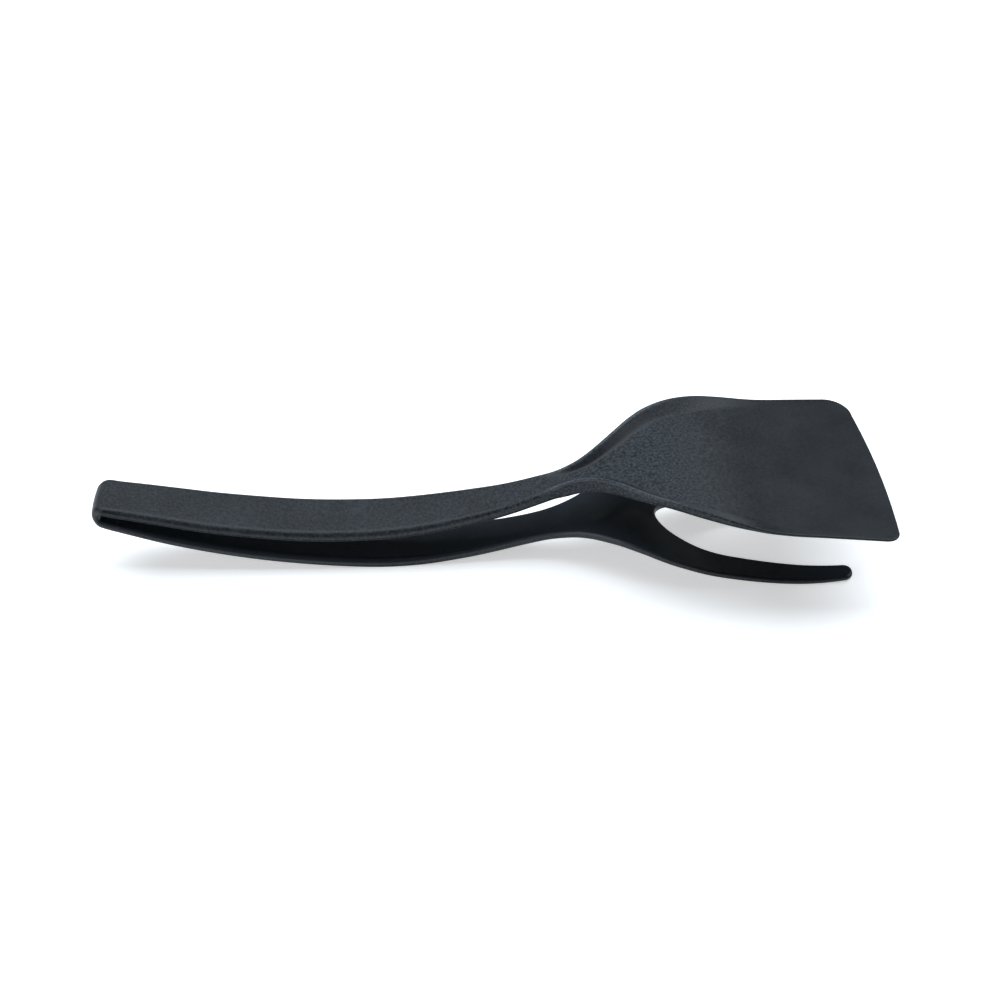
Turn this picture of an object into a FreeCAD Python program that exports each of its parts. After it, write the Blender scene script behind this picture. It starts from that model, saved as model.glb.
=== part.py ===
import FreeCAD, Part
import math
import os

# Spatula tongs: one strip of nylon folded back on itself at a spring bend.
# The upper arm ends in a wide blade, the lower arm in a two-tined fork.
# Millimetres. Stations are distances from the heel (the bend's far side) towards the blade,
# heights are above the table that the tongs lie on. The finished model is moved so that
# its origin is the bottom centre of its bounding box, +X to the blade, +Z up.

length = 269.3                  # station of the foremost point of the blade
heel_station = 0.5              # station of the bend's outermost line

# Spring bend: a true circular arc, tangent to both arms
bend_radius = 4.1               # outer
bend_thickness = 2.7
bend_height = 22.5              # its centre above the table
upper_slope = -0.20             # rise per unit length where each arm leaves the bend
lower_slope = -0.32

# Cuts between the regions
body_gap = 0.3                  # between two regions that move apart
flex_station = 70.0             # where each arm bows
neck_station = 150.0            # handle ends, shoulder or palm begins
flat_station = 234.0            # shoulder ends, flat blade begins
tine_station = 206.0            # palm ends, tines begin

# Upper arm: height of its top edge, half width, and thickness at its side edge
upper_top = [(16, 24.3), (28, 21.85), (40, 19.5), (55, 17.35), (70, 15.75), (85, 15.25),
             (100, 15.75), (115, 17.65), (130, 20.7), (142, 23.8), (154, 28.2), (166, 34.1),
             (176, 38.5), (186, 41.2), (196, 42.2), (206, 41.1), (216, 38.7), (226, 36.4), (234, 35.35)]
upper_half_width = [(0, 8.5), (20, 9.1), (40, 9.6), (70, 9.8), (95, 9.5), (115, 8.9), (130, 7.9),
                    (142, 6.9), (152, 5.9), (160, 4.7), (166, 5.6), (172, 9.0), (178, 14.2), (184, 20.2),
                    (190, 25.1), (200, 30.4), (210, 33.8), (222, 36.3), (234, 37.4)]
upper_edge = [(0, 2.7), (20, 3.0), (100, 3.4), (142, 3.8), (152, 4.1), (157, 4.9), (163, 6.4), (172, 5.9),
              (180, 5.0), (190, 3.6), (206, 3.0), (216, 2.2), (224, 1.4), (234, 1.0)]

# Shoulder: how far its raised rims stand over its dished face, and how thick the face is
rim_height = [(150, 0.0), (160, 0.8), (167, 1.7), (175, 2.6), (186, 3.1), (194, 3.0), (204, 2.2),
              (214, 1.1), (224, 0.3), (234, 0.0)]
rim_run = [(150, 1.0), (160, 1.2), (170, 2.2), (186, 4.0), (200, 5.5), (220, 8.0), (234, 10.0)]
widest_rim = 0.6                # as a share of the half width
face_thickness = [(150, 4.0), (160, 5.0), (168, 4.4), (176, 3.0), (186, 2.4), (206, 2.1), (234, 1.8)]
shoulder_stations = [neck_station, 155, 160, 165, 170, 175, 180, 186, 192, 200, 208, 216, 225,
                     flat_station]

# Blade: a flat plate that thins towards its slanted, slightly bowed front edge
blade_fall = 0.05               # drop of the flat face per unit length
blade_flare = 0.055             # growth of its half width per unit length
blade_front_thickness = 0.9
blade_edge_run = 14.0           # width of the thinned margin under each side edge
front_radius = 330.0            # bow of the front edge
front_offset = 26.0             # its foremost point is this far towards the near side
near_corner_radius = 4.0
far_corner_radius = 7.0

# Lower arm: height of its underside, half width and thickness
lower_bottom = [(12, 15.8), (25, 11.8), (40, 8.0), (55, 4.9), (70, 2.55), (85, 0.85), (99, 0.0), (112, 0.35),
                (124, 1.8), (136, 3.9), (148, 6.8), (160, 10.3), (170, 13.3), (178, 14.5), (184, 14.3),
                (190, 13.1), (200, 9.5), (210, 6.1), (220, 3.7), (232, 1.5), (242, 0.3), (249, 0.0),
                (255, 0.15), (260.5, 0.6)]
lower_half_width = [(0, 8.5), (20, 9.0), (40, 9.5), (64, 9.8), (95, 9.4), (112, 8.8), (128, 7.8), (142, 6.9),
                    (150, 6.8), (157, 7.3), (164, 9.2), (170, 12.1), (178, 16.7), (186, 20.6), (194, 22.8),
                    (206, 23.6), (220, 23.5), (236, 22.9), (250, 21.9), (260.5, 20.8)]
lower_thickness = [(0, 2.7), (30, 3.0), (100, 3.1), (142, 2.8), (160, 2.5), (180, 2.4), (206, 2.2),
                   (261, 1.9)]
palm_crown = [(150, 0.0), (160, 0.3), (170, 1.0), (180, 1.3), (190, 1.3), (206, 0.0)]
palm_stations = [neck_station, 156, 162, 168, 174, 180, 186, 192, 199, tine_station]

# Fork notch and tines
notch_station = 193.4           # bottom of the notch
notch_depth = 27.0              # half-ellipse that rounds it
notch_half_width = 13.3
notch_tip_half_width = 14.4     # the notch opens a little towards the tips
tine_tip_station = 260.5
tine_tip_radius = 3.1

# Blanks and outlines that are cut with each other
tall = 60.0                     # outlines are pulled up this far, past the tongs' top
wide = 50.0                     # blanks reach this far to each side, past half the blade
overrun = 1.0                   # a blank runs this far past the outline that cuts it
station_margin = 1.5            # a table's station closer than this to a stretch's end is left out
touch = 0.01                    # two lengths or places this close are the same


def vector(x, y, z):
    return FreeCAD.Vector(x, y, z)


def smooth(table, x):
    """Value of a table at x: a cubic through its stations with slopes from their neighbours."""
    if x <= table[0][0]:
        return table[0][1]
    if x >= table[-1][0]:
        return table[-1][1]
    i = max(k for k in range(len(table) - 1) if table[k][0] <= x)

    def slope(k):
        low = max(k - 1, 0)
        high = min(k + 1, len(table) - 1)
        return (table[high][1] - table[low][1]) / (table[high][0] - table[low][0])

    (x0, v0), (x1, v1) = table[i], table[i + 1]
    span = x1 - x0
    t = (x - x0) / span
    rise = (2 * t**3 - 3 * t**2 + 1) * v0 + (3 * t**2 - 2 * t**3) * v1
    return rise + span * ((t**3 - 2 * t**2 + t) * slope(i) + (t**3 - t**2) * slope(i + 1))


def curve(points):
    """Edge of a spline through points, or a straight edge through two."""
    if len(points) == 2:
        return Part.makeLine(points[0], points[1])
    spline = Part.BSplineCurve()
    spline.interpolate(points)
    return spline.toShape()


def stations(table, start, end):
    """The table's stations strictly inside a stretch, with the stretch's own ends."""
    inner = [x for x, _ in table if start + station_margin < x < end - station_margin]
    return [start] + inner + [end]


def arm_blank(start_points, table, thickness, side, start, end):
    """Side view of an arm pulled wide across Y. side is +1 if the table is its top, -1 its underside."""
    xs = stations(table, start, end)
    if start_points:
        xs = xs[1:]
    outer = [vector(x, -wide, smooth(table, x)) for x in xs]
    inner = [vector(x, -wide, smooth(table, x) - side * smooth(thickness, x)) for x in xs]
    if start_points:
        outer.insert(0, start_points[0])
        inner.insert(0, start_points[1])
    edges = [curve(outer), Part.makeLine(outer[-1], inner[-1]),
             curve(inner[::-1]), Part.makeLine(inner[0], outer[0])]
    return Part.Face(Part.Wire(edges)).extrude(vector(0, 2 * wide, 0))


def plan_blank(table, start, end):
    """Plan view of an arm between two stations, pulled up through the model."""
    xs = stations(table, start, end)
    far = [vector(x, smooth(table, x), -overrun) for x in xs]
    near = [vector(x, -smooth(table, x), -overrun) for x in reversed(xs)]
    edges = [curve(far), Part.makeLine(far[-1], near[0]), curve(near), Part.makeLine(near[-1], far[0])]
    return Part.Face(Part.Wire(edges)).extrude(vector(0, 0, tall))


def round_corner(outline, x, y, radius):
    """An outline pulled upwards, with its upright edge at (x, y) rounded."""
    corner = Part.Vertex(x, y, 0)
    edges = [e for e in outline.Edges
             if abs(e.BoundBox.ZLength - tall) < touch and e.distToShape(corner)[0] < touch]
    return outline.makeFillet(radius, edges)


def bend_end(slope, side):
    """Where an arm leaves the bend: the outward normal there and the direction of the arm."""
    size = math.hypot(1, slope)
    normal = vector(-side * slope / size, 0, side / size)
    direction = vector(1 / size, 0, slope / size)
    return normal, direction


bend_centre = vector(heel_station + bend_radius, 0, bend_height)


def bend_points(slope, side, gap):
    """Outer and inner end points of an arm at the bend, the gap further along the arm."""
    normal, direction = bend_end(slope, side)
    start = bend_centre + direction * gap - vector(0, wide, 0)
    return [start + normal * bend_radius, start + normal * (bend_radius - bend_thickness)]


def make_spring_bend():
    """The strip's section turned about the bend's axis from the upper arm round to the lower one."""
    upper_normal, _ = bend_end(upper_slope, 1)
    lower_normal, _ = bend_end(lower_slope, -1)
    half = upper_half_width[0][1]
    across = vector(0, half, 0)
    outer = bend_centre + upper_normal * bend_radius
    inner = bend_centre + upper_normal * (bend_radius - bend_thickness)
    corners = [outer - across, outer + across, inner + across, inner - across, outer - across]
    turn = math.degrees(math.pi + math.atan(-upper_slope) - math.atan(-lower_slope))
    section = Part.Face(Part.makePolygon(corners))
    return section.revolve(bend_centre, vector(0, -1, 0), turn)


def make_arm(slope, side, table, thickness, widths, start, end):
    """One stretch of a handle. A start of 0 begins at the bend."""
    at_bend = start == 0
    gap = body_gap if side > 0 else 0.0
    points = bend_points(slope, side, gap) if at_bend else None
    blank = arm_blank(points, table, thickness, side, start, end)
    return blank.common(plan_blank(widths, start, end))


def shoulder_section(x):
    """Closed outline across the shoulder: dished face, upright edges, underside that rises with the rims."""
    half = smooth(upper_half_width, x)
    top = smooth(upper_top, x)
    rim = smooth(rim_height, x)
    run = min(smooth(rim_run, x), half * widest_rim)
    face = top - rim
    low_edge = top - smooth(upper_edge, x)
    low_face = min(face - smooth(face_thickness, x), low_edge)
    inner = half - run
    middle = inner + run / 2
    upper_points = [vector(x, -half, top), vector(x, -middle, face + rim / 2), vector(x, -inner, face),
                    vector(x, 0, face), vector(x, inner, face), vector(x, middle, face + rim / 2),
                    vector(x, half, top)]
    lower_points = [vector(x, half, low_edge), vector(x, inner, low_face), vector(x, 0, low_face),
                    vector(x, -inner, low_face), vector(x, -half, low_edge)]
    edges = [curve(upper_points), Part.makeLine(upper_points[-1], lower_points[0]),
             curve(lower_points), Part.makeLine(lower_points[-1], upper_points[0])]
    return Part.Wire(edges)


def make_shoulder():
    """The sections joined by smooth faces."""
    return Part.makeLoft([shoulder_section(x) for x in shoulder_stations], True, False)


def blade_outline():
    """Plan of the flat blade: flared sides, bowed and slanted front edge, rounded corners."""
    start_half = upper_half_width[-1][1]

    def front(y):
        """Point of the front edge at y: on a circle about a centre near the neck."""
        x = length - front_radius + math.sqrt(front_radius**2 - (y + front_offset) ** 2)
        return vector(x, y, -overrun)

    def front_corner(side):
        """Where the flared side meets the front edge. side is +1 for the far one."""
        reach = front(side * start_half).x - flat_station
        return front(side * (start_half + blade_flare * reach))

    near_start = vector(flat_station, -start_half, -overrun)
    far_start = vector(flat_station, start_half, -overrun)
    near, far = front_corner(-1), front_corner(1)
    edges = [Part.makeLine(near_start, near), Part.Arc(near, front(0), far).toShape(),
             Part.makeLine(far, far_start), Part.makeLine(far_start, near_start)]
    plate = Part.Face(Part.Wire(edges)).extrude(vector(0, 0, tall))
    plate = round_corner(plate, near.x, near.y, near_corner_radius)
    return round_corner(plate, far.x, far.y, far_corner_radius)


def make_blade():
    """A plate under one plane, thinner along its sides and towards its front edge."""
    half = upper_half_width[-1][1]
    top = upper_top[-1][1]
    end = length + overrun
    end_top = top - blade_fall * (end - flat_station)
    end_half = half + blade_flare * (end - flat_station)

    def section(x, z, half_width, middle, edge):
        """Outline across a blank that stands over the plane, with its true underside."""
        side, margin = half_width + overrun, half_width - blade_edge_run
        corners = [(-side, z + overrun), (side, z + overrun), (side, z - edge), (margin, z - middle),
                   (-margin, z - middle), (-side, z - edge), (-side, z + overrun)]
        return Part.makePolygon([vector(x, y, height) for y, height in corners])

    first = section(flat_station, top, half, face_thickness[-1][1], upper_edge[-1][1])
    last = section(end, end_top, end_half, blade_front_thickness, blade_front_thickness)
    blank = Part.makeLoft([first, last], True, True)
    side_view = [vector(flat_station, -wide, 0), vector(flat_station, -wide, top),
                 vector(end, -wide, end_top), vector(end, -wide, 0), vector(flat_station, -wide, 0)]
    under_plane = Part.Face(Part.makePolygon(side_view)).extrude(vector(0, 2 * wide, 0))
    return blank.common(under_plane).common(blade_outline())


def fork_outline():
    """Plan of the palm and both tines with the rounded notch between them and rounded tips."""
    whole = plan_blank(lower_half_width, neck_station, tine_tip_station)
    straight_start = notch_station + notch_depth
    ellipse = Part.Ellipse(vector(straight_start, 0, -overrun), notch_depth, notch_half_width)
    hollow = Part.Face(Part.Wire(ellipse.toShape())).extrude(vector(0, 0, tall))
    corners = [(straight_start, -notch_half_width), (tine_tip_station, -notch_tip_half_width),
               (tine_tip_station, notch_tip_half_width), (straight_start, notch_half_width)]
    slot_points = [vector(x, y, -overrun) for x, y in corners + corners[:1]]
    slot = Part.Face(Part.makePolygon(slot_points)).extrude(vector(0, 0, tall))
    fork = whole.cut(hollow).cut(slot)
    for side in (-1, 1):
        for half in (notch_tip_half_width, lower_half_width[-1][1]):
            fork = round_corner(fork, tine_tip_station, side * half, tine_tip_radius)
    return fork


def palm_section(x):
    """Closed outline across the palm: an arched sheet whose edges hang lower than its middle."""
    half = smooth(lower_half_width, x) + overrun
    low = smooth(lower_bottom, x)
    thick = smooth(lower_thickness, x)
    rise = smooth(palm_crown, x)
    ys = [-half, -half / 2, 0, half / 2, half]
    arch = [low + rise * (1 - (y / half) ** 2) for y in ys]
    over = [vector(x, y, z + thick) for y, z in zip(ys, arch)]
    under = [vector(x, y, z) for y, z in zip(reversed(ys), reversed(arch))]
    edges = [curve(over), Part.makeLine(over[-1], under[0]), curve(under), Part.makeLine(under[-1], over[0])]
    return Part.Wire(edges)


def make_palm():
    """The arched sheet cut to the fork's plan."""
    return Part.makeLoft([palm_section(x) for x in palm_stations], True, False).common(fork_outline())


def make_tine(side):
    """One tine from the lower arm's side view, cut to the fork's plan. side is +1 for the far one."""
    blank = arm_blank(None, lower_bottom, lower_thickness, -1, tine_station, tine_tip_station)
    low = 0 if side > 0 else -wide
    half = Part.makeBox(length, wide, tall, vector(0, low, -overrun))
    return blank.common(fork_outline()).common(half)


os.makedirs("parts", exist_ok=True)

half_gap = body_gap / 2
flex_end = flex_station - half_gap
flex_start = flex_station + half_gap
upper = (upper_slope, 1, upper_top, upper_edge, upper_half_width)
lower = (lower_slope, -1, lower_bottom, lower_thickness, lower_half_width)

nodes = {
    "spring_bend": make_spring_bend(),
    "upper_spring_arm": make_arm(*upper, 0, flex_end),
    "upper_grip": make_arm(*upper, flex_start, neck_station),
    "blade_shoulder": make_shoulder(),
    "spatula_blade": make_blade(),
    "lower_spring_arm": make_arm(*lower, 0, flex_end),
    "lower_grip": make_arm(*lower, flex_start, neck_station),
    "fork_palm": make_palm(),
    "left_tine": make_tine(1),
    "right_tine": make_tine(-1),
}

for name, shape in nodes.items():
    solid = shape if shape.ShapeType == "Solid" else shape.Solids[0]
    print(name, len(shape.Solids), "solid, valid", solid.isValid(), "volume", round(solid.Volume, 1))
    placed = solid.copy()
    placed.translate(vector(-(heel_station + length) / 2, 0, 0))
    placed.exportStep(os.path.join("parts", name + ".step"))
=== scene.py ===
import math

import bmesh
import bpy
import numpy as np
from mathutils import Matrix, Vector


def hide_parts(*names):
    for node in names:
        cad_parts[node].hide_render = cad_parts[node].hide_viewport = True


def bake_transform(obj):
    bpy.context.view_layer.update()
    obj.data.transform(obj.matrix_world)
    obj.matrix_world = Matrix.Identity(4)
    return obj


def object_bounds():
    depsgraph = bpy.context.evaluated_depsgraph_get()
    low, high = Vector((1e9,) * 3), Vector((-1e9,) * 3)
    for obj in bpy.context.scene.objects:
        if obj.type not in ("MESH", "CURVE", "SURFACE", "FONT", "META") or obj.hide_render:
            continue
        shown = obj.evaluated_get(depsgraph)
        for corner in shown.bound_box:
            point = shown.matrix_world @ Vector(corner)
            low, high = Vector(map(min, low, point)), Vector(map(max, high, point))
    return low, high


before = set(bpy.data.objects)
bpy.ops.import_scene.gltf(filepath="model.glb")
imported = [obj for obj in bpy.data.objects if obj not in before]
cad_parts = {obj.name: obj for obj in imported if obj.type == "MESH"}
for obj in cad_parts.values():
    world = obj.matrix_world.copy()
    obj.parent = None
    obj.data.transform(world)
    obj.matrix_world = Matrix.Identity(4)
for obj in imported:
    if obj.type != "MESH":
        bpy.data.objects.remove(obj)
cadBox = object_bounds()
print("frame: the packed tongs are loaded")

# Shapes are worked out in millimetres, from the heel towards the blade and up from the table,
# and go to metres in the frame only where a mesh is made.
heelStation = 0.5                       # the bend's outermost line
seamStation = 9.0                       # where the bend's skin meets the skins of the two arms
acrossCount = 41                        # points between the two edge bands of any row
cornerCount = 13                        # points round an outline's corner
cornerMiddle = cornerCount // 2
edgeReach = 0.45                        # the first, finest distances in from an edge end here
edgeSteps = edgeReach * (1 - np.cos(np.radians(np.arange(0, 91, 15))))
bandSteps = np.array([0.07, 0.16, 0.27, 0.4, 0.55, 0.72, 0.87, 1.0])  # the rest, as shares of the band
farFromEdge = 99.0                      # a distance past every rounding
insideStart = 0.05                      # a strip's inner face begins this far in from its edge
sharpAngle = 50                         # degrees between two faces that shade apart
weldDistance = 2e-7                     # metres between border points that are one
sliver = 1e-7                           # and of edges too short to keep


# value at stations s of a list of (station, value) points: a cubic between neighbours, whose slope at
# each point is the slope of the chord between the points on either side of it
def along(points, s):
    x, v = np.array(points, float).T
    low = np.maximum(np.arange(len(x)) - 1, 0)
    high = np.minimum(np.arange(len(x)) + 1, len(x) - 1)
    slope = (v[high] - v[low]) / (x[high] - x[low])
    s = np.clip(s, x[0], x[-1])
    i = np.clip(np.searchsorted(x, s, side="right") - 1, 0, len(x) - 2)
    span = x[i + 1] - x[i]
    t = (s - x[i]) / span
    ends = (2 * t**3 - 3 * t**2 + 1) * v[i] + (3 * t**2 - 2 * t**3) * v[i + 1]
    return ends + span * ((t**3 - 2 * t**2 + t) * slope[i] + (t**3 - t**2) * slope[i + 1])


# 0 before low, 1 after high, 3t^2 - 2t^3 between
def fade(low, high, s):
    t = np.clip((s - low) / (high - low), 0, 1)
    return t * t * (3 - 2 * t)


# how far a quarter-round edge has dropped at a distance in from it: radius - sqrt(radius^2 - (radius - d)^2)
def roll(d, radius):
    inside = np.clip(radius - d, 0, None)
    return radius - np.sqrt(np.maximum(radius**2 - inside**2, 0))


# a raised rim's height at q = distance in / width of the rim: 1 at its crest, which turns over in a short
# parabola to a straight wall, then a long parabola that runs out level at q = 1
def rimShape(q, crest, straight):
    q = np.clip(q, 0, 1)
    slope = 2 / (1 + straight - crest)
    turn = 1 - slope / (2 * crest) * q**2
    wall = 1 - slope * (q - crest / 2)
    bowl = slope / (2 * (1 - straight)) * (1 - q) ** 2
    return np.where(q < crest, turn, np.where(q < straight, wall, bowl))


# cubic from a to b that leaves along tangentA and arrives along tangentB
def bridge(a, tangentA, b, tangentB, count):
    a, b = np.array(a, float), np.array(b, float)
    reach = np.linalg.norm(b - a)
    ta, tb = [np.array(t, float) / np.linalg.norm(t) * reach for t in (tangentA, tangentB)]
    t = np.linspace(0, 1, count)[:, None]
    return (2*t**3 - 3*t**2 + 1) * a + (t**3 - 2*t**2 + t) * ta + (3*t**2 - 2*t**3) * b + (t**3 - t**2) * tb


# circle of a radius about a centre between two angles in degrees
def arc(centre, radius, start, end, count):
    a = np.radians(np.linspace(start, end, count))
    return np.array(centre) + radius * np.column_stack([np.cos(a), np.sin(a)])


# rounding of an outline's corner: the circle that touches both edges, which leave it along before and after
def cornerArc(corner, before, after, radius, count):
    before, after = [np.array(d, float) / np.linalg.norm(d) for d in (before, after)]
    half = math.acos(before @ after) / 2
    middle = (before + after) / np.linalg.norm(before + after)
    centre = np.array(corner) + middle * radius / math.sin(half)
    first, last = [np.array(corner) + d * radius / math.tan(half) - centre for d in (before, after)]
    t = np.linspace(0, 1, count)[:, None]
    turn = math.pi - 2 * half
    return centre + (np.sin((1 - t) * turn) * first + np.sin(t * turn) * last) / math.sin(turn)


# count points along a polyline, evenly spaced by length
def resample(points, count):
    length = np.concatenate([[0], np.cumsum(np.linalg.norm(np.diff(points, axis=0), axis=1))])
    at = np.linspace(0, length[-1], count)
    return np.column_stack([np.interp(at, length, points[:, k]) for k in (0, 1)])


# distances in from the edge for each width of band: fine over the rounding, then wider
def bandDistances(width):
    width = np.atleast_1d(width)[:, None]
    return np.hstack([edgeSteps + 0 * width, edgeReach + (width - edgeReach) * bandSteps])


# strip of the plan inside an outline with the material on its left: every outline point moved in along
# its normal by the band's distances. Returns x, y, the distance and its share of the band's width, one row
# per outline point.
def edgeBand(outline, width):
    step = np.diff(outline, axis=0)
    step /= np.linalg.norm(step, axis=1)[:, None]
    tangent = np.vstack([step[:1], step[:-1] + step[1:], step[-1:]])
    normal = np.column_stack([-tangent[:, 1], tangent[:, 0]])
    normal[0], normal[-1] = (0, 1), (0, -1)      # both ends are cut square across the arm
    normal /= np.linalg.norm(normal, axis=1)[:, None]
    d = bandDistances(width)
    return outline[:, :1] + normal[:, :1] * d, outline[:, 1:] + normal[:, 1:] * d, d, d / d[:, -1:]


# plan between two chains of points: straight rows that bow to end on the last row, the bow fading in
# over the rows as bow goes from 0 to 1
def rowsBetween(first, second, lastRow, bow):
    v = np.linspace(0, 1, len(lastRow))[None, :, None]
    rows = first[:, None, :] * (1 - v) + second[:, None, :] * v
    return rows + bow[:, None, None] * (lastRow[None] - rows[-1:])


# plan rows inside the band, where no edge is near
def beyondBand(rows):
    return rows[..., 0], rows[..., 1], np.full(rows.shape[:2], farFromEdge), np.ones(rows.shape[:2])


# 1 on a strip's inner face, 0 at its very edge
def insideShare(d):
    return np.clip(d / insideStart, 0, 1)


partingBead = {
    "height": 0.36,                     # along the wall
    "most": 0.4,                        # and half of it is at most this share of the wall
    "angles": np.radians(np.linspace(90, -90, 6)),
    "upperArm": [(0, 0.2), (200, 0.2), (224, 0), (270, 0)],      # how far it stands out, by station
    "lowerArm": [(0, 0.2), (14, 0.16), (26, 0), (262, 0)],
}


# one closed mesh from grids of (rows, columns, 3) points in millimetres that share their border points;
# attributes holds a list of grids for each name, one per patch
def closedMesh(name, patches, attributes):
    points, faces, start = [], [], 0
    for grid in patches:
        rows, columns = grid.shape[:2]
        index = start + np.arange(rows * columns).reshape(rows, columns)
        quads = np.stack([index[:-1, :-1], index[1:, :-1], index[1:, 1:], index[:-1, 1:]], axis=-1)
        faces.append(quads.reshape(-1, 4))
        points.append(grid.reshape(-1, 3))
        start += rows * columns
    points = np.vstack(points) * 0.001
    points[:, 0] += cadBox[0].x - heelStation * 0.001
    mesh = bpy.data.meshes.new(name)
    mesh.from_pydata(points, [], np.vstack(faces).tolist())
    for key, grids in attributes.items():
        layer = mesh.attributes.new(key, "FLOAT", "POINT")
        layer.data.foreach_set("value", np.concatenate([g.ravel() for g in grids]).astype(np.float32))
    bm = bmesh.new()
    bm.from_mesh(mesh)
    bmesh.ops.remove_doubles(bm, verts=bm.verts, dist=weldDistance)
    bmesh.ops.dissolve_degenerate(bm, edges=bm.edges, dist=sliver)
    bmesh.ops.recalc_face_normals(bm, faces=bm.faces)
    openEdges = sum(not e.is_manifold for e in bm.edges)
    bm.to_mesh(mesh)
    bm.free()
    mesh.shade_smooth()
    mesh.set_sharp_from_angle(angle=math.radians(sharpAngle))
    piece = bpy.data.objects.new(name, mesh)
    bpy.context.scene.collection.objects.link(piece)
    print(f"{name}: {len(mesh.polygons)} faces, {openEdges} open edges")
    return piece


# shares of the way from the outer to the inner edge of a side wall: 0, then six from the bead's start to 1
def wallShares(outer, inner):
    tall = np.linalg.norm(inner - outer, axis=1)[:, None]
    half = np.minimum(partingBead["height"] / 2, partingBead["most"] * tall)
    return np.hstack([0 * tall, 1 - half * (1 + np.sin(partingBead["angles"])) / tall])


# side wall of a strip from its outer to its inner edge, with a half-round bead beside the inner edge, which
# stands out by swell * cos(angle)
def sideWall(outer, inner, out, swell):
    share = wallShares(outer, inner)[..., None]
    stand = np.hstack([0 * swell[:, None], swell[:, None] * np.cos(partingBead["angles"])])[..., None]
    return outer[:, None] * (1 - share) + inner[:, None] * share + out[:, None] * stand


# flat end of a strip, between the two walls' end rows
def endCap(outerCut, innerCut, firstWall, lastWall):
    share = wallShares(outerCut[:1], innerCut[:1])[0][:, None, None]
    cap = outerCut[None] * (1 - share) + innerCut[None] * share
    cap[:, 0], cap[:, -1] = firstWall, lastWall
    return cap


# the solid between two height functions over plan patches: x, y, distance in from the outline and its share
# of the band's width. outerUp is 1 where the top is the strip's outer face, -1 where the underside is.
# The first patch is the edge band, whose first column is the outline and whose end rows, with the first
# row of the second patch between them, are the cut across the arm.
def sheetSolid(name, plan, topOf, bottomOf, outerUp, beadTable, grainOf):
    tops = [np.stack([*g[:2], topOf(*g)], axis=-1) for g in plan]
    bottoms = [np.stack([*g[:2], bottomOf(*g)], axis=-1) for g in plan]
    band, rows = 0, 1

    def cut(surfaces):
        return np.vstack([surfaces[band][0], surfaces[rows][0][1:-1], surfaces[band][-1][::-1]])

    outer, inner = (tops, bottoms) if outerUp > 0 else (bottoms, tops)
    out = (tops[band][:, 0] - tops[band][:, 1]) * (1, 1, 0)
    out /= np.linalg.norm(out, axis=1)[:, None]
    edge = outer[band][:, 0]
    flank = sideWall(edge, inner[band][:, 0], out, along(beadTable, edge[:, 0]))
    cap = endCap(cut(outer), cut(inner), flank[0], flank[-1])
    patches = tops + bottoms + [flank, cap]
    up = [1] * len(tops) + [-1] * len(bottoms) + [0, 0]
    plans = [*plan, *plan, None, None]
    inside = [insideShare(g[2]) if u == -outerUp else np.zeros(p.shape[:2])
              for g, u, p in zip(plans, up, patches)]
    distances = [g[2] if g else np.zeros(p.shape[:2]) for g, p in zip(plans, patches)]
    grain, wearAndHighlight = zip(*[grainOf(p[..., 0], d) for p, d in zip(patches, distances)])
    return closedMesh(name, patches, {"inside": inside, "grain": grain, "wearAndHighlight": wearAndHighlight})


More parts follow.
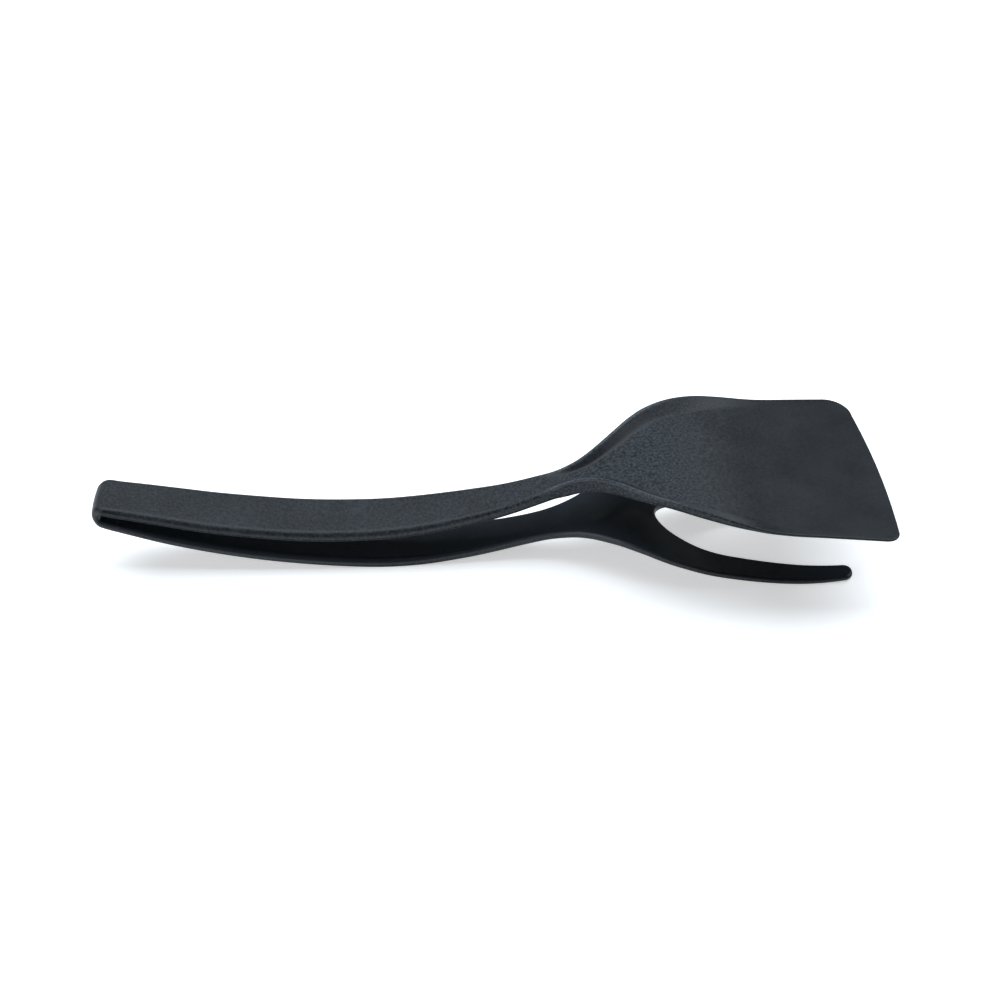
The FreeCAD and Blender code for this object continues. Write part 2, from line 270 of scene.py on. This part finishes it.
# every table is by station: the arm sags, narrows into its neck, climbs and flares into the shoulder, and
# ends in the blade, one plane that falls gently to the front. top is the height of its side edges.
bladeArm = {
    "top": [(4, 26.95), (5.4, 26.68), (16, 24.75), (28, 22.35), (40, 20.0), (55, 17.85), (70, 16.25),
            (85, 15.75), (100, 16.25), (115, 18.15), (130, 21.05), (142, 24.05), (154, 28.55), (166, 34.65),
            (176, 39.05), (186, 41.6), (196, 42.35), (206, 41.2), (216, 38.8), (226, 36.4), (234, 35.35),
            (244, 34.85), (272, 33.45)],
    "halfWidth": [(0, 8.75), (20, 9.6), (40, 10.2), (70, 10.4), (95, 10.1), (115, 9.4), (130, 8.25),
                  (142, 7.1), (152, 6.05), (160, 4.9), (166, 5.8), (172, 9.2), (178, 14.4), (184, 20.3),
                  (190, 25.2), (200, 30.5), (210, 33.9), (222, 36.3), (234, 37.4), (244, 37.95),
                  (272, 39.49)],
    "edge": [(0, 2.75), (20, 3.0), (100, 3.4), (142, 3.8), (152, 4.1), (157, 4.9), (163, 6.4), (172, 5.9),
             (180, 5.0), (190, 3.6), (206, 3.0), (216, 2.2), (224, 1.4), (234, 1.0), (270, 0.9)],
    "face": [(0, 2.75), (20, 3.0), (100, 3.4), (142, 3.8), (150, 4.05), (157, 4.6), (163, 4.8),
             (168, 3.9), (172, 3.1), (176, 2.5), (186, 2.0), (206, 1.9), (234, 1.8), (270, 0.9)],
    "sideThinning": [(200, 0), (216, 0.3), (234, 0.8), (270, 0)],     # thinner by this at the sides
    "thinFrom": 0.6,                    # which begins at this share of the half width
    "rimHeight": [(144, 0), (152, 0.3), (158, 1.1), (165, 2.5), (173, 3.6), (184, 4.1), (194, 3.8),
                  (204, 2.8), (214, 1.4), (224, 0.4), (234, 0), (270, 0)],
    "rimWidth": [(144, 2.2), (160, 3.2), (168, 4.4), (176, 5.2), (188, 6.0), (202, 6.6), (216, 6.4),
                 (234, 4.0), (244, 3.0), (270, 3.0)],
    "rimCrest": 0.14,                   # shares of the rim's width where its wall begins and ends
    "rimStraight": 0.78,
    "topRound": [(0, 1.6), (16, 2.1), (110, 2.1), (130, 1.7), (142, 1.4), (156, 1.3), (170, 1.25), (200, 1.1),
                 (216, 0.6), (234, 0.42), (270, 0.4)],
    "bottomRound": [(0, 0.25), (150, 0.3), (234, 0.42), (270, 0.4)],
    "dish": [(190, 0), (215, 0.2), (245, 0.4), (262, 0.35), (270, 0.3)],   # the middle is this much lower
    "farDish": 1.5,                     # times as steep on the far side
    "bandWidth": 3.0,                   # of the handle
    "bandTurn": (120, 150),             # where the band takes the rim's width
    "handleStep": 1.2,                  # spacing of the rows, which get finer from the neck on
    "neckStation": 144.0,
    "neckStep": 0.6,
    "flareStation": 206.0,
    "flareCount": 52,                   # rows from there to the front corners
    "rowTurn": (232, 262),              # where the rows bow to follow the front edge
    "flatStation": 234.0,
    "front": 269.55,                    # foremost point
    "flare": 0.055,
    "frontRadius": 330.0,
    "frontOffset": 26.0,                # the foremost point is this far to the near side
    "nearCorner": 4.6,
    "farCorner": 9.0,
    "grain": [(0, 0.4), (130, 0.5), (165, 0.95), (195, 0.95), (215, 0.35), (235, 0.15), (270, 0.12)],
    "rimBegins": (150, 160),            # where the rims' marks fade in and out: less grain and painted shade on the walls, wear and a painted highlight on the crests
    "rimEnds": (188, 204),
    "wallBegins": (1.2, 1.8),           # distances in from the edge
    "wallEnds": (0.8, 1.0),             # shares of the rim's width
    "wallSmoothAndShade": 0.8,                  # share of the grain missing on the walls, which also darkens them: painted shade
    "wearAndHighlightEnds": (1.2, 1.9),             # distances in from the edge
}


# station of the front edge at y: a circle's edge
def bladeFront(y):
    a = bladeArm
    return a["front"] - a["frontRadius"] + np.sqrt(a["frontRadius"] ** 2 - (y + a["frontOffset"]) ** 2)


# plan of the upper arm: its two sides, the slanted front edge and two rounded corners
def bladeArmPlan():
    a = bladeArm

    def half(s):
        return along(a["halfWidth"], s)

    common = np.concatenate([np.arange(seamStation, a["neckStation"], a["handleStep"]),
                             np.arange(a["neckStation"], a["flareStation"], a["neckStep"]),
                             [a["flareStation"]]])
    corners = {}
    for side in (-1, 1):
        y = side * half(bladeFront(side * half(a["flatStation"])))
        x = bladeFront(y)
        lean = (y + a["frontOffset"]) / (x - a["front"] + a["frontRadius"])   # of the front edge there
        back, across = (-1, -side * a["flare"]), (side * lean, -side)
        radius = a["nearCorner"] if side < 0 else a["farCorner"]
        edges = (back, across) if side < 0 else (across, back)
        corners[side] = cornerArc((x, y), *edges, radius, cornerCount)

    def sidePoints(side, end):
        s = np.concatenate([common[:-1], np.linspace(common[-1], end, a["flareCount"])[:-1]])
        return np.column_stack([s, side * half(s)])

    near = sidePoints(-1, corners[-1][0, 0])
    far = sidePoints(1, corners[1][-1, 0])[::-1]
    frontCount = acrossCount - 2 * cornerMiddle
    y = np.linspace(corners[-1][-1, 1], corners[1][0, 1], frontCount)[1:-1]
    front = np.column_stack([bladeFront(y), y])
    outline = np.vstack([near, corners[-1], front, corners[1], far])
    sideCount = len(near) + cornerMiddle + 1
    x = outline[:, 0]
    rimWidth = along(a["rimWidth"], x)
    width = rimWidth + (a["bandWidth"] - rimWidth) * (1 - fade(*a["bandTurn"], x))
    band = edgeBand(outline, width)
    inset = np.column_stack([band[0][:, -1], band[1][:, -1]])
    first, second = inset[:sideCount], inset[-sideCount:][::-1]
    lastRow = inset[sideCount - 1:len(inset) - sideCount + 1]
    bow = fade(*a["rowTurn"], first[:, 0])
    bow /= bow[-1]
    rows = rowsBetween(first, second, lastRow, bow)
    return [band, beyondBand(rows)]


# the blade's shallow dish: a cubic of the distance from its middle line, steeper on the far side
def bladeDish(x, y):
    a = bladeArm
    share = np.clip(y / along(a["halfWidth"], x), -1, 1)
    rise = np.abs(share) ** 3 * np.where(share > 0, a["farDish"], 1)
    return along(a["dish"], x) * (rise - 1)


# top: the side edge's height less the rim's height, plus the rim, less the edge's rounding
def bladeArmTop(x, y, d, q):
    a = bladeArm
    rim = along(a["rimHeight"], x)
    lifted = rim * (rimShape(q, a["rimCrest"], a["rimStraight"]) - 1)
    return along(a["top"], x) + bladeDish(x, y) + lifted - roll(d, along(a["topRound"], x))


# underside: the face less its thickness, which thins to the blade's sides, lifted under the rims
def bladeArmBottom(x, y, d, q):
    a = bladeArm
    rim, thinning = along(a["rimHeight"], x), along(a["sideThinning"], x)
    thickness = along(a["face"], x)
    out = fade(a["thinFrom"], 1, np.abs(y) / along(a["halfWidth"], x))
    lift = rim - along(a["edge"], x) + thickness - thinning
    under = along(a["top"], x) - rim - thickness + thinning * out
    lift = lift * rimShape(q, a["rimCrest"], a["rimStraight"])
    return under + lift + bladeDish(x, y) + roll(d, along(a["bottomRound"], x))


forkArm = {
    "bottom": [(2.5, 18.87), (3.35, 18.6), (12, 15.8), (25, 11.8), (40, 8.0), (55, 4.9), (70, 2.55),
               (85, 0.85), (99, 0.0), (112, 0.35), (124, 1.8), (136, 3.9), (148, 6.8), (160, 10.3),
               (170, 13.3), (178, 14.5), (184, 14.3), (190, 13.1), (200, 9.5), (210, 6.1), (220, 3.7),
               (232, 1.5), (242, 0.3), (249, 0.0), (255, 0.15), (262, 0.7)],
    "halfWidth": [(0, 8.6), (20, 9.4), (40, 9.95), (64, 10.15), (95, 9.8), (112, 9.2), (128, 8.2), (142, 7.2),
                  (150, 7.0), (157, 7.5), (164, 9.4), (170, 12.3), (178, 16.9), (186, 20.8), (194, 23.1),
                  (206, 23.9), (220, 23.8), (236, 23.1), (250, 22.0), (260.5, 20.9)],
    "thickness": [(0, 2.84), (30, 3.0), (100, 3.1), (142, 2.8), (160, 2.5), (180, 2.4), (206, 2.2),
                  (262, 1.9)],
    "crown": [(146, 0), (160, 0.1), (170, 0.35), (180, 0.5), (190, 0.5), (206, 0)],
    "topRound": [(0, 0.6), (12, 1.1), (26, 2.0), (100, 2.0), (118, 1.4), (134, 0.8), (165, 0.5), (206, 0.7),
                 (262, 0.8)],
    "bottomRound": [(0, 0.9), (14, 0.6), (40, 0.45), (110, 0.45), (150, 0.6), (206, 0.7), (262, 0.7)],
    "bandWidth": 3.0,                   # of the handle and the palm
    "tineBand": 1.9,
    "bandTurn": (184, 204),             # where one takes the other's width
    "handleStep": 1.2,
    "neckStation": 144.0,
    "palmStep": 0.8,
    "joinStation": 184.0,               # rows run straight across before it and round the notch after it
    "tineCount": 62,                    # rows from there to the tip's corner
    "rowTurn": (250, 259),              # where the rows bow to follow the tip
    "tip": 260.5,
    "tipHalfWidth": 20.9,
    "tipRun": 8.0,                      # the tine's outer side is straight for this long before its tip
    "tipRound": 3.1,
    "notch": 193.4,                     # its bottom
    "notchDepth": 27.0,
    "notchHalfWidth": 13.3,
    "notchTipHalfWidth": 14.4,
    "curveCount": 60,                   # points of the notch's quarter ellipse, and of its straight side
    "straightCount": 30,
    "grain": [(0, 0.4), (130, 0.4), (180, 0.2), (262, 0.2)],
    "wearAndHighlightStation": (125, 150),          # where the wear and its painted highlight fade in and out
    "wearAndHighlightFades": (185, 215),
    "wearAndHighlightEnds": (0.7, 1.2),             # distances in from the edge
}


# plan of the lower arm: the near half's outline from the heel round the tine and into the notch,
# mirrored for the far half
def forkArmPlan():
    a = forkArm

    def half(s):
        return along(a["halfWidth"], s)

    tip = a["tip"]
    outerLean = (half(tip) - half(tip - a["tipRun"])) / a["tipRun"]
    notchMouth = a["notch"] + a["notchDepth"]
    innerLean = (a["notchTipHalfWidth"] - a["notchHalfWidth"]) / (tip - notchMouth)
    outer = cornerArc((tip, -a["tipHalfWidth"]), (-1, outerLean), (0, 1), a["tipRound"], cornerCount)
    inner = cornerArc((tip, -a["notchTipHalfWidth"]), (0, -1), (-1, innerLean), a["tipRound"], cornerCount)
    common = np.concatenate([np.arange(seamStation, a["neckStation"], a["handleStep"]),
                             np.arange(a["neckStation"], a["joinStation"], a["palmStep"])])
    s = np.concatenate([common, np.linspace(a["joinStation"], outer[0, 0], a["tineCount"])[:-1]])
    side = np.column_stack([s, -half(s)])
    joinAt = len(common)
    angle = np.linspace(math.pi / 2, 0, a["curveCount"])[:, None]
    curve = np.hstack([notchMouth - a["notchDepth"] * np.cos(angle), -a["notchHalfWidth"] * np.sin(angle)])
    straight = np.linspace(inner[-1], (notchMouth, -a["notchHalfWidth"]), a["straightCount"])[:-1]
    acrossHalf = (acrossCount + 1) // 2
    outerCount = len(side) - joinAt + cornerMiddle + 1
    notchCount = acrossHalf + outerCount - 1 - cornerMiddle  # from the last corner's end to the bottom
    notch = resample(np.vstack([straight, curve]), notchCount)[1:]
    nearHalf = np.vstack([side, outer, inner, notch])
    outline = np.vstack([nearHalf, (nearHalf * (1, -1))[::-1][1:]])
    x = outline[:, 0]
    width = a["bandWidth"] + (a["tineBand"] - a["bandWidth"]) * fade(*a["bandTurn"], x)
    band = edgeBand(outline, width)
    inset = np.column_stack([band[0][:, -1], band[1][:, -1]])[:len(nearHalf)]
    outerMid, innerMid = len(side) + cornerMiddle, len(side) + len(outer) + cornerMiddle
    nearRows = inset[:joinAt + 1]
    farRows = nearRows * (1, -1)
    arm = rowsBetween(nearRows, farRows, np.linspace(nearRows[-1], farRows[-1], acrossCount),
                      np.zeros(len(nearRows)))
    joinLine = arm[-1][:acrossHalf][::-1]                        # from the middle out to the near side
    outerChain = np.vstack([joinLine, inset[joinAt + 1:outerMid + 1]])
    innerChain = inset[innerMid:][::-1]
    tipRow = inset[outerMid:innerMid + 1]
    bow = fade(*a["rowTurn"], outerChain[:, 0])
    bow /= bow[-1]
    tine = rowsBetween(outerChain, innerChain, tipRow, bow)
    far = tine * (1, -1)
    return [band] + [beyondBand(g) for g in (arm, tine, far)]


# underside of the sheet: the side edges' height, arched towards the middle of the palm
def forkArmSheet(x, y):
    a = forkArm
    return along(a["bottom"], x) + along(a["crown"], x) * (1 - (y / along(a["halfWidth"], x)) ** 2)


# top: the sheet plus its thickness, less the edge's rounding
def forkArmTop(x, y, d, q):
    a = forkArm
    return forkArmSheet(x, y) + along(a["thickness"], x) - roll(d, along(a["topRound"], x))


def forkArmBottom(x, y, d, q):
    return forkArmSheet(x, y) + roll(d, along(forkArm["bottomRound"], x))


springBend = {
    "centre": (4.4, 22.75),             # station and height of its axis
    "outerRadius": 4.15,
    "innerRadius": 1.4,
    "upperAngle": 78.69,                # where the arms leave it
    "lowerAngle": 252.26,
    "outerRound": 2.0,                  # rounding of its side edges at the back
    "crown": 0.35,                      # how far the back is lower at its sides than in its middle
    "waist": 1.1,                       # how much nearer each side is at the back
    "grain": 0.4,
    "innerGrain": 0.7,                  # how far the inner face takes the outside's finish at the back
    "edgeFlat": 0.2,                    # least width left between a side edge's two roundings
    "turnCount": 49,                    # rings round the bend, and on to each arm
    "runCount": 13,
    "slopeReach": 0.5,
}


# the strip carried round the bend: outer and inner paths are circles with a cubic run to each arm, and
# each ring is the arm's own cut between the two. back, a squared sine over the rings, is 0 at the arms and
# 1 at the back, where the ring takes the bend's own rounding, crown and waist.
def makeSpringBend():
    b, up, down = springBend, bladeArm, forkArm
    run, reach = b["runCount"], b["slopeReach"]
    seam = np.array([seamStation])

    def upperOuter(s):
        return along(up["top"], s)

    def upperInner(s):
        return along(up["top"], s) - along(up["edge"], s)

    def lowerOuter(s):
        return along(down["bottom"], s)

    def lowerInner(s):
        return along(down["bottom"], s) + along(down["thickness"], s)

    def path(radius, upperEdge, lowerEdge):
        around = arc(b["centre"], radius, b["upperAngle"], b["lowerAngle"], b["turnCount"])
        tangents = [np.radians(b[k]) for k in ("upperAngle", "lowerAngle")]
        leave, arrive = [(-math.sin(t), math.cos(t)) for t in tangents]
        start = (seamStation, float(upperEdge(seam)[0]))
        end = (seamStation, float(lowerEdge(seam)[0]))
        slopes = [float(f(seam + reach)[0] - f(seam - reach)[0]) / (2 * reach) for f in (upperEdge, lowerEdge)]
        first = bridge(start, (-1, -slopes[0]), around[0], leave, run)
        last = bridge(around[-1], arrive, end, (1, slopes[1]), run)
        return np.vstack([first[:-1], around, last[1:]])

    outer = path(b["outerRadius"], upperOuter, lowerOuter)
    inner = path(b["innerRadius"], upperInner, lowerInner)
    rings = len(outer)
    part = np.linspace(0, 1, rings)
    back = np.sin(np.pi * np.clip((np.arange(rings) - run / 2) / (rings - run), 0, 1)) ** 2

    def between(first, second):
        return first + (second - first) * part

    half = between(along(up["halfWidth"], seam)[0], along(down["halfWidth"], seam)[0]) - b["waist"] * back
    outerRound = between(along(up["topRound"], seam)[0], along(down["bottomRound"], seam)[0])
    outerRound = outerRound + (b["outerRound"] - outerRound) * back
    thickness = np.linalg.norm(inner - outer, axis=1)
    crown = b["crown"] * back
    innerRound = between(along(up["bottomRound"], seam)[0], along(down["topRound"], seam)[0])
    innerRound = np.minimum(innerRound, thickness - outerRound - crown - b["edgeFlat"])
    d = bandDistances(np.full(1, up["bandWidth"]))[0]
    inside = np.linspace(-1, 1, acrossCount)[1:-1]
    distances = np.concatenate([d, np.full(len(inside), farFromEdge), d[::-1]])[None]
    innerHalf = half[:, None] - up["bandWidth"]
    y = np.hstack([-half[:, None] + d, inside * innerHalf, half[:, None] - d[::-1]])
    sink = crown[:, None] * (y / half[:, None]) ** 2
    depths = (roll(distances, outerRound[:, None]) + sink,
              thickness[:, None] - roll(distances, innerRound[:, None]))
    surfaces = []
    for depth in depths:
        share = (depth / thickness[:, None])[..., None]
        point = outer[:, None] * (1 - share) + inner[:, None] * share
        surfaces.append(np.stack([point[..., 0], y, point[..., 1]], axis=-1))
    swell = between(along(partingBead["upperArm"], seam)[0], along(partingBead["lowerArm"], seam)[0])
    sides = [sideWall(surfaces[0][:, k], surfaces[1][:, k], np.full((rings, 3), (0, side, 0)), swell)
             for k, side in ((0, -1), (-1, 1))]
    caps = [endCap(surfaces[0][k], surfaces[1][k], sides[0][k], sides[1][k]) for k in (0, -1)]
    patches = surfaces + sides + caps
    insides = [np.zeros(p.shape[:2]) for p in patches]
    insides[1] = insideShare(distances) * (1 - b["innerGrain"] * back[:, None])
    grain = [np.full(p.shape[:2], b["grain"]) for p in patches]
    wearAndHighlight = [np.zeros(p.shape[:2]) for p in patches]
    return closedMesh("heelBend", patches, {"inside": insides, "grain": grain, "wearAndHighlight": wearAndHighlight})


# a number or colour in a shader; + - * add the Math node that works it out
class Value:
    def __init__(self, shader, socket):
        self.shader, self.socket = shader, socket

    def math(self, operation, first, second):
        return self.shader.node("Math", {"operation": operation}, {0: first, 1: second})

    def __add__(self, other):
        return self.math("ADD", self, other)

    def __radd__(self, other):
        return self.math("ADD", other, self)

    def __sub__(self, other):
        return self.math("SUBTRACT", self, other)

    def __rsub__(self, other):
        return self.math("SUBTRACT", other, self)

    def __mul__(self, other):
        return self.math("MULTIPLY", self, other)

    def __rmul__(self, other):
        return self.math("MULTIPLY", other, self)


class Shader:
    def __init__(self, name):
        self.material = bpy.data.materials.new(name)
        self.material.use_nodes = True
        self.tree = self.material.node_tree
        self.tree.nodes.clear()

    def node(self, kind, settings=None, inputs=None, output=0):
        made = self.tree.nodes.new("ShaderNode" + kind)
        for key, value in (settings or {}).items():
            setattr(made, key, value)
        for key, value in (inputs or {}).items():
            if isinstance(value, Value):
                self.tree.links.new(value.socket, made.inputs[key])
            else:
                made.inputs[key].default_value = value
        return Value(self, made.outputs[output]) if len(made.outputs) else None

    def mix(self, factor, first, second):
        return self.node("Mix", {"data_type": "RGBA"}, {0: factor, 6: first, 7: second}, output=2)

    def attribute(self, name):
        return self.node("Attribute", {"attribute_name": name}, output="Fac")


nylon = {
    "deep": (0.0, 0.001, 0.002, 1),
    "pale": (0.048, 0.057, 0.069, 1),
    "smoothTone": 0.13,                 # where there is no grain
    "grainTone": 0.32,                  # paler where the grain is coarser
    "paintedHighlightTone": 0.35,                   # and paler where it is worn: a painted highlight along crests and edges
    # paler on the arms' inner faces, which sit in shade: painted light
    "paintedInsideLight": 0.16,
    "speckle": 2.6,
    "cloudSize": 0.016,
    "cloudiness": 0.2,
    "roughness": 0.26,
    "grainRoughness": 0.47,
    "roughSpeckle": 0.5,
    "roughClouds": 0.1,
    "insideRoughness": 0.17,
    "wornRoughness": 0.26,
    "ior": 1.36,
    "grainSize": 0.0009,                # metres
    "detail": 2.0,
    "pitShare": 1.7,                    # pits to a grain
    "pitDepth": 0.4,                    # share of the grain's
    "bumpHeight": 0.00008,
    "insideSmooth": 0.85,               # share of the grain missing inside the arms
}


# glass-filled nylon: spark-eroded grain outside, smoother inside the arms, faint cloudiness from the mould
def makeNylon():
    n, s = nylon, Shader("charcoalNylon")
    place = s.node("TexCoord", output="Object")
    inside, grain, wearAndHighlight = [s.attribute(key) for key in ("inside", "grain", "wearAndHighlight")]
    coarse = s.node("TexNoise", {}, {"Vector": place, "Scale": 1 / n["grainSize"], "Detail": n["detail"]})
    pits = s.node("TexVoronoi", {}, {"Vector": place, "Scale": n["pitShare"] / n["grainSize"]})
    cloud = s.node("TexNoise", {}, {"Vector": place, "Scale": 1 / n["cloudSize"]})
    spread, clouds = coarse - 0.5, cloud - 0.5
    strength = grain * (1 - inside * n["insideSmooth"])
    # the tone is paler along worn crests and edges, a painted highlight, and on the inner faces, painted light
    # that lifts their shade
    tone = n["smoothTone"] + grain * n["grainTone"] + wearAndHighlight * n["paintedHighlightTone"] + inside * n["paintedInsideLight"]
    tone = tone + spread * strength * n["speckle"] + clouds * n["cloudiness"]
    colour = s.mix(tone, n["deep"], n["pale"])
    rough = n["roughness"] + grain * n["grainRoughness"] + spread * strength * n["roughSpeckle"]
    rough = rough + wearAndHighlight * (n["wornRoughness"] - rough)
    rough = rough + inside * (n["insideRoughness"] - rough) + clouds * n["roughClouds"]
    height = (coarse + pits * n["pitDepth"]) * strength
    bump = s.node("Bump", {}, {"Height": height, "Strength": 1.0, "Distance": n["bumpHeight"]})
    shader = s.node("BsdfPrincipled", {}, {"Base Color": colour, "Roughness": rough, "Normal": bump,
                                           "IOR": n["ior"]})
    s.node("OutputMaterial", {}, {"Surface": shader})
    return s.material


# grain and wear at a station and a distance in from the outline: the shoulder is the coarsest, its rims' walls
# have less grain and a darker tone, painted shade, and the rims' crests are worn smoother and paler, the paler
# tone a painted highlight
def bladeGrain(x, d):
    a = bladeArm
    rimmed = fade(*a["rimBegins"], x) * (1 - fade(*a["rimEnds"], x))
    # the walls lose grain: finer bumps and roughness, and a darker tone that is painted shade
    wall = rimmed * fade(*a["wallBegins"], d) * (1 - fade(*a["wallEnds"], d / along(a["rimWidth"], x)))
    wearAndHighlight = rimmed * (1 - fade(*a["wearAndHighlightEnds"], d)) * (d > 0)
    return along(a["grain"], x) * (1 - a["wallSmoothAndShade"] * wall), wearAndHighlight


# the palm's edges are worn too, smoother and paler, the paler tone a painted highlight
def forkGrain(x, d):
    a = forkArm
    palm = fade(*a["wearAndHighlightStation"], x) * (1 - fade(*a["wearAndHighlightFades"], x))
    return along(a["grain"], x), palm * (1 - fade(*a["wearAndHighlightEnds"], d)) * (d > 0)


heelBend = makeSpringBend()
upperSkin = sheetSolid("bladeArm", bladeArmPlan(), bladeArmTop, bladeArmBottom, 1,
                       partingBead["upperArm"], bladeGrain)
lowerSkin = sheetSolid("forkArm", forkArmPlan(), forkArmTop, forkArmBottom, -1,
                       partingBead["lowerArm"], forkGrain)
skin = makeNylon()
for piece in (heelBend, upperSkin, lowerSkin):
    piece.data.materials.append(skin)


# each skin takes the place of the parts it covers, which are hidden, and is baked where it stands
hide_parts("spring_bend")
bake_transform(heelBend)
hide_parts("upper_spring_arm", "upper_grip", "blade_shoulder", "spatula_blade")
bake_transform(upperSkin)
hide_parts("lower_spring_arm", "lower_grip", "fork_palm", "left_tine", "right_tine")
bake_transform(lowerSkin)


# metres, watts and degrees; the floor glows a little, which keeps its shadows pale
studio = {
    "floorColour": (0.93, 0.93, 0.93, 1),
    "floorRoughness": 0.88,
    "floorClouds": 0.05,
    "floorScale": 3.0,
    "floorGlow": 0.5,
    "floorReach": 4.0,
    "worldColour": (0.94, 0.97, 1.0, 1),
    "worldStrength": 0.07,
    "lightColour": (0.85, 0.93, 1.0),
    "lights": {
        "softAbove": {"place": (0.0, 0.33, 1.05), "target": (0, 0, 0), "size": (2.4, 1.1), "power": 26},
        "fillLeft": {"place": (-1.15, -0.7, 0.6), "target": (0, 0, 0), "size": (0.9, 0.7), "power": 4.5},
        "lowBack": {"place": (0.0, 1.5, 0.13), "target": (0, 0, 0.02), "size": (3.0, 0.26), "power": 4},
    },
    "elevation": 39.0,
    "azimuth": -1.4,
    "distance": 0.63707,
    "aim": (0.00459, 0.0, 0.02146),
    "lens": 66.6,
    "sensor": 36.0,
    "clip": (0.01, 20),
}


def makeFloor():
    s = Shader("paleFloor")
    place = s.node("TexCoord", output="Object")
    cloud = s.node("TexNoise", {}, {"Vector": place, "Scale": studio["floorScale"]})
    rough = studio["floorRoughness"] + cloud * studio["floorClouds"]
    shader = s.node("BsdfPrincipled", {}, {"Base Color": studio["floorColour"], "Roughness": rough,
                                           "Emission Color": (1, 1, 1, 1),
                                           "Emission Strength": studio["floorGlow"]})
    s.node("OutputMaterial", {}, {"Surface": shader})
    mesh = bpy.data.meshes.new("floor")
    reach, height = studio["floorReach"], cadBox[0].z
    mesh.from_pydata([(-reach, -reach, height), (reach, -reach, height), (reach, reach, height),
                      (-reach, reach, height)], [], [(0, 1, 2, 3)])
    mesh.materials.append(s.material)
    floor = bpy.data.objects.new("floor", mesh)
    bpy.context.scene.collection.objects.link(floor)


def makeLight(name, place, target, size, power):
    light = bpy.data.lights.new(name, "AREA")
    light.shape, light.size, light.size_y, light.energy = "RECTANGLE", *size, power
    light.color = studio["lightColour"]
    made = bpy.data.objects.new(name, light)
    made.location = place
    made.rotation_euler = (Vector(target) - Vector(place)).to_track_quat("-Z", "Y").to_euler()
    bpy.context.scene.collection.objects.link(made)


# looks back at the aim from an elevation and an azimuth, which is 0 in front and grows to the right
def makeCamera():
    lens = bpy.data.cameras.new("camera")
    lens.lens, lens.sensor_width = studio["lens"], studio["sensor"]
    lens.clip_start, lens.clip_end = studio["clip"]
    camera = bpy.data.objects.new("camera", lens)
    e, a = math.radians(studio["elevation"]), math.radians(studio["azimuth"])
    back = Vector((math.sin(a) * math.cos(e), -math.cos(a) * math.cos(e), math.sin(e)))
    camera.location = Vector(studio["aim"]) + back * studio["distance"]
    camera.rotation_euler = (-back).to_track_quat("-Z", "Y").to_euler()
    bpy.context.scene.collection.objects.link(camera)
    bpy.context.scene.camera = camera


makeFloor()
for name, light in studio["lights"].items():
    makeLight(name, **light)
makeCamera()
world = bpy.data.worlds.new("studio")
world.use_nodes = True
background = world.node_tree.nodes["Background"]
background.inputs["Color"].default_value = studio["worldColour"]
background.inputs["Strength"].default_value = studio["worldStrength"]
bpy.context.scene.world = world
bpy.context.scene.view_settings.view_transform = "Standard"
print("studio: floor, three lights and the camera")
